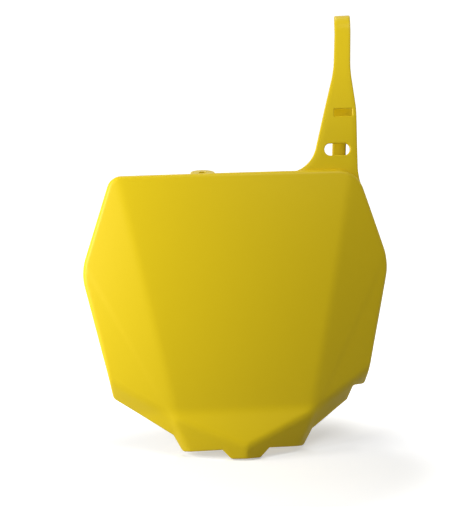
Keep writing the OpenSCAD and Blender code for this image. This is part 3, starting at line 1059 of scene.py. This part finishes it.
@dataclass(frozen=True)
class MouldGrain:
    """The mould's grain, with flow marks in the colour and uneven gloss."""

    flow_detail: float = 3
    flow_rough: float = 0.45
    grain_detail: float = 2
    grain_rough: float = 0.6
    most_tint: float = 0.9
    flow_gloss: float = 0.05
    grain_gloss: float = 0.04

    def group(self) -> NodeTree:
        """Build the node group.

        Returns:
            The group, with a colour, a roughness and a height output.
        """
        tree = bpy.data.node_groups.new("mould_grain", "ShaderNodeTree")
        wanted = {"Vector": "Vector", "Grain Scale": "Float", "Flow Scale": "Float"}
        wanted |= {"Colour": "Color", "Deep Colour": "Color", "Roughness": "Float"}
        made = {"Colour": "Color", "Roughness": "Float", "Height": "Float"}
        for way, sockets in (("INPUT", wanted), ("OUTPUT", made)):
            for name, kind in sockets.items():
                tree.interface.new_socket(name, in_out=way, socket_type="NodeSocket" + kind)
        add = tree.nodes.new
        given = add("NodeGroupInput").outputs
        noises = []
        for scale, detail, rough in (
            ("Flow Scale", self.flow_detail, self.flow_rough),
            ("Grain Scale", self.grain_detail, self.grain_rough),
        ):
            feeds = {"Vector": given["Vector"], "Scale": given[scale], "Detail": detail}
            node = wire(add("ShaderNodeTexNoise"), {**feeds, "Roughness": rough})
            noises.append(node.outputs["Fac"])
        flow, grain = noises
        tint = add("ShaderNodeMix")
        tint.data_type = "RGBA"
        share = self.spread(tree, flow, 0.0, self.most_tint)
        wire(tint, {"Factor": share, "A": given["Colour"], "B": given["Deep Colour"]})
        gloss = given["Roughness"]
        for source, reach in ((flow, self.flow_gloss), (grain, self.grain_gloss)):
            part = self.spread(tree, source, -reach, reach)
            total = wire(add("ShaderNodeMath"), {0: gloss, 1: part})
            total.operation = "ADD"
            gloss = total.outputs["Value"]
        out = {"Colour": tint.outputs["Result"], "Roughness": gloss, "Height": grain}
        wire(add("NodeGroupOutput"), out)
        return tree

    def spread(self, tree: NodeTree, source: NodeSocket, low: float, high: float) -> NodeSocket:
        """Map 0 to 1 onto low to high."""
        feeds = {"Value": source, "To Min": low, "To Max": high}
        return wire(tree.nodes.new("ShaderNodeMapRange"), feeds).outputs["Result"]


# The assembly


@dataclass(frozen=True)
class NumberBoard:
    """The whole moulding, placed in the row frame."""

    face: Face = Face()
    ear: Ear = Ear()
    lean: float = 15
    rim_r: float = 3
    crease_angle: float = 40
    weld: float = 2e-6
    most_sides: int = 4

    @property
    def outline(self) -> Outline:
        """The outline round the face."""
        return Outline(self.face)

    def bolt(self) -> Vector:
        """Place the bolt hole.

        Returns:
            Its middle in the face frame.
        """
        y = self.face.depth(Vector((-self.ear.x, 0))) + self.ear.reach
        rise = (self.ear.reach - self.rim_r) * tan_deg(self.lean)
        z = rise - self.ear.thickness / 2 / cos(radians(self.lean))
        return Vector((-self.ear.x, y, z))

    def place(self) -> Matrix:
        """Return the matrix from the face frame in millimetres to the row frame in metres."""
        back = Matrix.Rotation(radians(-self.lean), 4, "X")
        return Matrix.Scale(MM, 4) @ back @ Matrix.Translation(-self.bolt())

    def part(self, name: str, bm: BMesh, place: Matrix = Matrix()) -> Object:
        """Turn a closed mesh into an object.

        Args:
            name: The object's name.
            bm: The mesh, which is freed.
            place: Where it goes in the face frame.

        Returns:
            The object, at the origin and shaded smooth.
        """
        bmesh.ops.transform(bm, matrix=place, verts=bm.verts)
        for f in bm.faces:
            f.smooth = True
        return new_object(name, bm)

    def combine(self, kind: str, obj: Object, *others: Object) -> None:
        """Apply boolean steps to an object and remove the tools.

        Args:
            kind: DIFFERENCE or UNION.
            obj: The object that is changed.
            others: The tools.
        """
        for other in others:
            step = obj.modifiers.new(other.name, "BOOLEAN")
            step.object = other
            step.operation = kind
            step.solver = "EXACT"
        graph = bpy.context.evaluated_depsgraph_get()
        made = bpy.data.meshes.new_from_object(obj.evaluated_get(graph))
        obj.modifiers.clear()
        old = obj.data
        obj.data = made
        made.name = obj.name
        bpy.data.meshes.remove(old)
        for other in others:
            mesh = other.data
            bpy.data.objects.remove(other)
            bpy.data.meshes.remove(mesh)

    def crease(self, board: Object) -> None:
        """Clean the joined mesh, and shade it sharp along its hard edges and smooth elsewhere.

        Args:
            board: The joined piece.
        """
        bm = bmesh.new()
        bm.from_mesh(board.data)
        bmesh.ops.remove_doubles(bm, verts=bm.verts, dist=self.weld)
        many_sided = [f for f in bm.faces if len(f.verts) > self.most_sides]
        bmesh.ops.triangulate(bm, faces=many_sided, ngon_method="BEAUTY")
        limit = radians(self.crease_angle)
        for e in bm.edges:
            e.smooth = e.calc_face_angle(0.0) < limit
        bm.to_mesh(board.data)
        bm.free()

    def build(self) -> Object:
        """Build the one piece.

        Returns:
            The number board, dressed in nothing yet.
        """
        shell = Shell(self.face, self.outline, self.ear, self.rim_r)
        strap = Strap(self.face, self.outline)
        level = Matrix.Translation(self.bolt()) @ Matrix.Rotation(radians(self.lean), 4, "X")
        tab = self.part("ear", self.ear.solid(self.ear.reach - self.rim_r), level)
        pin = self.part("pin", self.ear.pin(), level)
        self.combine("DIFFERENCE", tab, pin)
        band = self.part("strap", strap.solid())
        window = self.part("window", strap.cutter(strap.window))
        slot = self.part("slot", strap.cutter(strap.slot))
        self.combine("DIFFERENCE", band, window, slot)
        board = self.part("number_board_moulding", shell.solid())
        self.combine("UNION", board, tab, band)
        board.data.transform(self.place())
        self.crease(board)
        LOG.info("%s: %d faces", board.name, len(board.data.polygons))
        return board

    def dress(self, board: Object) -> None:
        """Give the piece its finishes and tie it to the frame.

        Args:
            board: The piece from build.
        """
        grain = MouldGrain().group()
        front = MouldedPlastic(
            name="satin_yellow_plastic",
            colour=(0.80, 0.585, 0.006),
            deep_colour=(0.76, 0.55, 0.005),
            roughness=0.42,
            grain_scale=900,
            grain_height=0.05,
            flow_scale=9,
        )
        back = MouldedPlastic(
            name="matt_yellow_plastic",
            colour=(0.77, 0.56, 0.006),
            deep_colour=(0.71, 0.51, 0.005),
            roughness=0.55,
            grain_scale=600,
            grain_height=0.12,
            flow_scale=12,
        )
        board.data.materials.clear()
        for finish in (front, back):
            board.data.materials.append(finish.material(grain))
        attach(board, "root")
        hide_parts(NODE)


# Studio


@dataclass(frozen=True)
class Lamp:
    """A soft square lamp, in metres and watts, that hangs a given way from its target."""

    name: str
    way: tuple[float, float, float]
    reach: float
    size: float
    watts: float

    def hang(self, target: Vector) -> None:
        """Hang the lamp.

        Args:
            target: What it points at.
        """
        data = bpy.data.lights.new(self.name, "AREA")
        data.size = self.size
        data.energy = self.watts
        place = target + Vector(self.way).normalized() * self.reach
        obj = new_object(self.name, data)
        obj.location = place
        obj.rotation_euler = (target - place).to_track_quat("-Z", "Y").to_euler()
        obj.visible_camera = False


@dataclass(frozen=True)
class Studio:
    """The camera, the lamps and the pale floor."""

    picture: tuple[int, int] = (465, 507)
    reach: float = 1.334
    pixels: float = 1626
    sensor: float = 36
    azimuth: float = 8.1
    elevation: float = 12.2
    aim_x: float = 236.3
    aim_y: float = 172.2
    lit_drop: float = 100
    lamps: tuple[Lamp, ...] = (
        Lamp("key", way=(-0.93, -0.25, 0.27), reach=0.68, size=0.4, watts=5.15),
        Lamp("top", way=(0.3, -0.38, 0.85), reach=0.75, size=0.35, watts=2.0),
        Lamp("rear", way=(-0.05, 0.55, 0.85), reach=1.0, size=0.3, watts=1.6),
    )
    fill: float = 0.13
    floor_z: float = -0.2262
    floor_size: float = 12
    floor_grey: float = 0.38
    floor_pale: float = 0.8
    # Ellipse under the board, its middle and half axes in metres, where the floor's glow dims:
    # painted shade on the floor there, besides the lamps' real shadow; outside it the glow paints
    # the floor white
    painted_shade_at: tuple[float, float, float] = (0.01, -0.09, 0)
    painted_shade_wide: float = 0.27
    painted_shade_deep: float = 0.17
    painted_shade_soft: float = 0.5
    glow_far: float = 1
    glow_in_painted_shade: float = 0.36

    def camera(self, board: NumberBoard) -> None:
        """Place the camera that took the picture.

        Args:
            board: The board it looks at.
        """
        a, e = radians(self.azimuth), radians(self.elevation)
        ahead = Vector((sin(a) * cos(e), cos(a) * cos(e), -sin(e)))
        right = Vector((cos(a), -sin(a), 0))
        up = right.cross(ahead)
        summit = Vector((0, board.face.depth(Vector((0, 0))), 0))
        wide, high = self.picture
        aside = (wide / 2 - self.aim_x) / self.pixels
        below = (high / 2 - self.aim_y) / self.pixels
        look = ahead + right * aside - up * below
        data = bpy.data.cameras.new("camera")
        data.sensor_width = self.sensor
        data.lens = self.sensor * self.pixels / high
        cam = new_object("camera", data)
        cam.location = board.place() @ summit - ahead * self.reach
        cam.rotation_euler = look.to_track_quat("-Z", "Y").to_euler()
        bpy.context.scene.camera = cam

    def floor(self) -> None:
        """Lay the pale floor, which looks white to the camera away from the board and keeps the
        shadow; under the board its glow is dimmer, which paints shade there besides the real shadow.
        """
        bm = bmesh.new()
        bmesh.ops.create_grid(bm, x_segments=1, y_segments=1, size=self.floor_size)
        bmesh.ops.translate(bm, verts=bm.verts, vec=(0, 0, self.floor_z))
        obj = new_object("floor", bm)
        mat = bpy.data.materials.new("pale_floor")
        mat.use_nodes = True
        tree = mat.node_tree
        tree.nodes.clear()
        add = tree.nodes.new
        grey = wire(add("ShaderNodeBsdfDiffuse"), {"Color": (*[self.floor_grey] * 3, 1)})
        pale = wire(add("ShaderNodeBsdfDiffuse"), {"Color": (*[self.floor_pale] * 3, 1)})
        glow = wire(add("ShaderNodeEmission"), {"Strength": self.glow_with_painted_shade(tree)})
        both = wire(add("ShaderNodeAddShader"), {0: pale.outputs[0], 1: glow.outputs[0]})
        self.choose(tree, grey, both, add("ShaderNodeOutputMaterial"))
        obj.data.materials.append(mat)

    def glow_with_painted_shade(self, tree: NodeTree) -> NodeSocket:
        """Shade the glow, from dim under the board to white away from it: the dim part paints shade
        onto the floor under the board, and the white part paints over the far reach of the key
        lamp's shadow.

        Args:
            tree: The floor's tree.

        Returns:
            The glow's strength.
        """
        scale = Vector((1 / self.painted_shade_wide, 1 / self.painted_shade_deep, 0))
        feeds = {
            "Vector": tree.nodes.new("ShaderNodeTexCoord").outputs["Object"],
            "Scale": scale,
            "Location": -Vector(self.painted_shade_at) * scale,
        }
        put = wire(tree.nodes.new("ShaderNodeMapping"), feeds)
        disc = wire(tree.nodes.new("ShaderNodeTexGradient"), {"Vector": put.outputs["Vector"]})
        disc.gradient_type = "SPHERICAL"
        level = tree.nodes.new("ShaderNodeMapRange")
        level.interpolation_type = "SMOOTHSTEP"
        # The glow is full away from the board and dims under it, which paints shade onto the floor
        # there
        ends = {"From Max": self.painted_shade_soft, "To Min": self.glow_far, "To Max": self.glow_in_painted_shade}
        wire(level, {"Value": disc.outputs["Fac"], **ends})
        return level.outputs["Result"]

    def choose(self, tree: NodeTree, bounced: Node, seen: Node, out: Node) -> None:
        """Show one shader to camera, glossy and transmission rays, and another to the rest.

        Args:
            tree: The tree of the floor or the world.
            bounced: The shader for the rest.
            seen: The shader that is seen.
            out: The output node.
        """
        path = tree.nodes.new("ShaderNodeLightPath").outputs
        ray = path["Is Camera Ray"]
        for kind in ("Is Glossy Ray", "Is Transmission Ray"):
            either = wire(tree.nodes.new("ShaderNodeMath"), {0: ray, 1: path[kind]})
            either.operation = "MAXIMUM"
            ray = either.outputs[0]
        shaders = {"Fac": ray, 1: bounced.outputs[0], 2: seen.outputs[0]}
        pick = wire(tree.nodes.new("ShaderNodeMixShader"), shaders)
        wire(out, {"Surface": pick.outputs[0]})

    def sky(self) -> None:
        """Fill the room with plain light, with white where the camera sees it."""
        world = bpy.data.worlds.new("studio")
        bpy.context.scene.world = world
        world.use_nodes = True
        tree = world.node_tree
        tree.nodes.clear()
        add = tree.nodes.new
        feeds = {"Color": (1, 1, 1, 1), "Strength": self.fill}
        light = wire(add("ShaderNodeBackground"), feeds)
        white = wire(add("ShaderNodeBackground"), {**feeds, "Strength": 1})
        self.choose(tree, light, white, add("ShaderNodeOutputWorld"))

    def build(self, board: NumberBoard) -> None:
        """Set the stage.

        Args:
            board: The board it stands round.
        """
        self.camera(board)
        self.floor()
        self.sky()
        middle = board.place() @ Vector((0, 0, -self.lit_drop))
        for lamp in self.lamps:
            lamp.hang(middle)
        bpy.context.scene.view_settings.view_transform = "Standard"


def main() -> None:
    """Build the board and the stage, and log the board's face count."""
    logging.basicConfig(level=logging.INFO, format="%(name)s: %(message)s")
    board = NumberBoard()
    piece = board.build()
    board.dress(piece)
    Studio().build(board)


if __name__ == "__main__":
    main()
